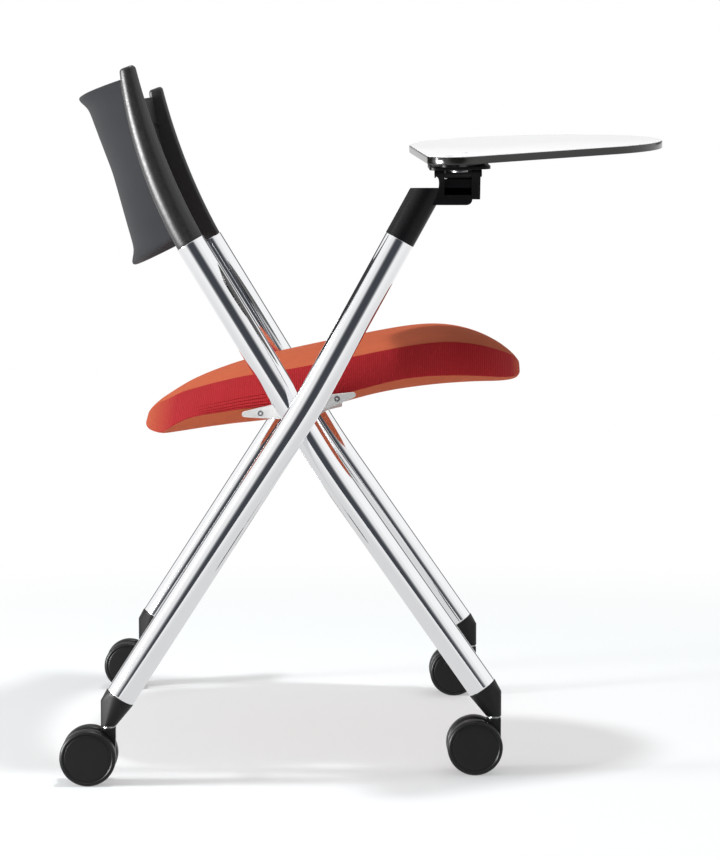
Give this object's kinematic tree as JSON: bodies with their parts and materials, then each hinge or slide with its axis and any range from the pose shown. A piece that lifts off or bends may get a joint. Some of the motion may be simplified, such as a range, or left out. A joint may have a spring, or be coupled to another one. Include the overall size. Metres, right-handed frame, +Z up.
{
  "type": "nesting chair",
  "caption": "Nesting chair on casters: crossed tube frame, tip-up padded seat, bowed back panel and a writing tablet that swings and drops at the right side.",
  "frame": {"origin": "on the floor, under the middle of the chair's overall box with the tablet in use", "axes": "+X to the front of the chair, +Y to its left side, +Z up"},
  "size_m": [0.6573, 0.6724, 0.7633],
  "materials": {
    "chrome": "polished chrome plating",
    "black_plastic": "black, fine grain",
    "upright_black": "black, satin with a fine grain",
    "panel_grey": "mid grey, satin",
    "bracket_black": "black powder coat",
    "steel": "zinc plated",
    "washer": "black bearing plastic",
    "board_core": "board with a black edge",
    "laminate_white": "white laminate, satin",
    "plug_grey": "pale grey",
    "seat_fabric": "orange-red woven cloth over foam",
    "seat_plate": "black moulded plywood",
    "bracket_grey": "cast, light grey",
    "rubber": "matt",
    "caster_black": "black, satin",
    "wheel_black": "black, satin"
  },
  "bodies": {
    "frame": {"right_back_tube": "chrome", "left_back_tube": "chrome", "right_arm_tube": "chrome", "left_rear_leg": "chrome", "left_leg_cap": "black_plastic", "cross_tube": "chrome", "crossing_spacers": "chrome", "front_right_socket": "black_plastic", "front_left_socket": "black_plastic", "rear_right_socket": "black_plastic", "rear_left_socket": "black_plastic", "right_upright": "upright_black", "left_upright": "upright_black", "back_panel": "panel_grey", "back_pins": "steel", "arm_fitting": "black_plastic", "tablet_bracket": "bracket_black", "bracket_screws": "steel", "hinge_pin": "steel", "seat_stops": "chrome", "stop_buffers": "rubber"},
    "seat": {"seat_cushion": "seat_fabric", "seat_pan": "seat_plate", "right_seat_bracket": "bracket_grey", "left_seat_bracket": "bracket_grey", "seat_bushes": "washer", "seat_screws": "steel"},
    "carrier": {"tablet_carrier": "bracket_black", "swing_washer": "washer"},
    "tablet": {"swing_pivot": "steel", "tablet_mount": "bracket_black", "tablet_board": "board_core", "tablet_laminate": "laminate_white", "tablet_screws": "steel", "tablet_plugs": "plug_grey"},
    "front_right_swivel": {"front_right_stem": "steel", "front_right_hood": "caster_black", "front_right_axle": "steel"},
    "front_right_outer_roller": {"front_right_outer_wheel": "wheel_black"},
    "front_right_inner_roller": {"front_right_inner_wheel": "wheel_black"},
    "front_left_swivel": {"front_left_stem": "steel", "front_left_hood": "caster_black", "front_left_axle": "steel"},
    "front_left_outer_roller": {"front_left_outer_wheel": "wheel_black"},
    "front_left_inner_roller": {"front_left_inner_wheel": "wheel_black"},
    "rear_right_swivel": {"rear_right_stem": "steel", "rear_right_hood": "caster_black", "rear_right_axle": "steel"},
    "rear_right_outer_roller": {"rear_right_outer_wheel": "wheel_black"},
    "rear_right_inner_roller": {"rear_right_inner_wheel": "wheel_black"},
    "rear_left_swivel": {"rear_left_stem": "steel", "rear_left_hood": "caster_black", "rear_left_axle": "steel"},
    "rear_left_outer_roller": {"rear_left_outer_wheel": "wheel_black"},
    "rear_left_inner_roller": {"rear_left_inner_wheel": "wheel_black"}
  },
  "joints": [
    {"name": "seat_tip", "type": "hinge", "parent": "frame", "child": "seat", "pos_m": [-0.07534, 0.02673, 0.386], "axis": [0, -1, 0], "range_deg": [0, 78]},
    {"name": "tablet_drop", "type": "hinge", "parent": "frame", "child": "carrier", "pos_m": [0.09316, -0.27227, 0.6485], "axis": [0.9997, 0, 0.0244], "range_deg": [0, 85.2]},
    {"name": "tablet_swing", "type": "hinge", "parent": "carrier", "child": "tablet", "pos_m": [0.09292, -0.29951, 0.65865], "axis": [0.0243, 0.0837, -0.9962], "range_deg": [0, 162.7]},
    {"name": "front_right_swivel_turn", "type": "hinge", "parent": "frame", "child": "front_right_swivel", "pos_m": [0.13672, -0.21077, 0.0618], "axis": [0, 0, 1], "continuous": true},
    {"name": "front_right_outer_roll", "type": "hinge", "parent": "front_right_swivel", "child": "front_right_outer_roller", "pos_m": [0.11572, -0.22477, 0.03], "axis": [0, 1, 0], "continuous": true},
    {"name": "front_right_inner_roll", "type": "hinge", "parent": "front_right_swivel", "child": "front_right_inner_roller", "pos_m": [0.11572, -0.19677, 0.03], "axis": [0, 1, 0], "continuous": true},
    {"name": "front_left_swivel_turn", "type": "hinge", "parent": "frame", "child": "front_left_swivel", "pos_m": [0.13672, 0.26423, 0.0618], "axis": [0, 0, 1], "continuous": true},
    {"name": "front_left_outer_roll", "type": "hinge", "parent": "front_left_swivel", "child": "front_left_outer_roller", "pos_m": [0.11572, 0.27823, 0.03], "axis": [0, 1, 0], "continuous": true},
    {"name": "front_left_inner_roll", "type": "hinge", "parent": "front_left_swivel", "child": "front_left_inner_roller", "pos_m": [0.11572, 0.25023, 0.03], "axis": [0, 1, 0], "continuous": true},
    {"name": "rear_right_swivel_turn", "type": "hinge", "parent": "frame", "child": "rear_right_swivel", "pos_m": [-0.27769, -0.26077, 0.0618], "axis": [0, 0, 1], "continuous": true},
    {"name": "rear_right_outer_roll", "type": "hinge", "parent": "rear_right_swivel", "child": "rear_right_outer_roller", "pos_m": [-0.29869, -0.27477, 0.03], "axis": [0, 1, 0], "continuous": true},
    {"name": "rear_right_inner_roll", "type": "hinge", "parent": "rear_right_swivel", "child": "rear_right_inner_roller", "pos_m": [-0.29869, -0.24677, 0.03], "axis": [0, 1, 0], "continuous": true},
    {"name": "rear_left_swivel_turn", "type": "hinge", "parent": "frame", "child": "rear_left_swivel", "pos_m": [-0.27769, 0.31423, 0.0618], "axis": [0, 0, 1], "continuous": true},
    {"name": "rear_left_outer_roll", "type": "hinge", "parent": "rear_left_swivel", "child": "rear_left_outer_roller", "pos_m": [-0.29869, 0.32823, 0.03], "axis": [0, 1, 0], "continuous": true},
    {"name": "rear_left_inner_roll", "type": "hinge", "parent": "rear_left_swivel", "child": "rear_left_inner_roller", "pos_m": [-0.29869, 0.30023, 0.03], "axis": [0, 1, 0], "continuous": true}
  ]
}
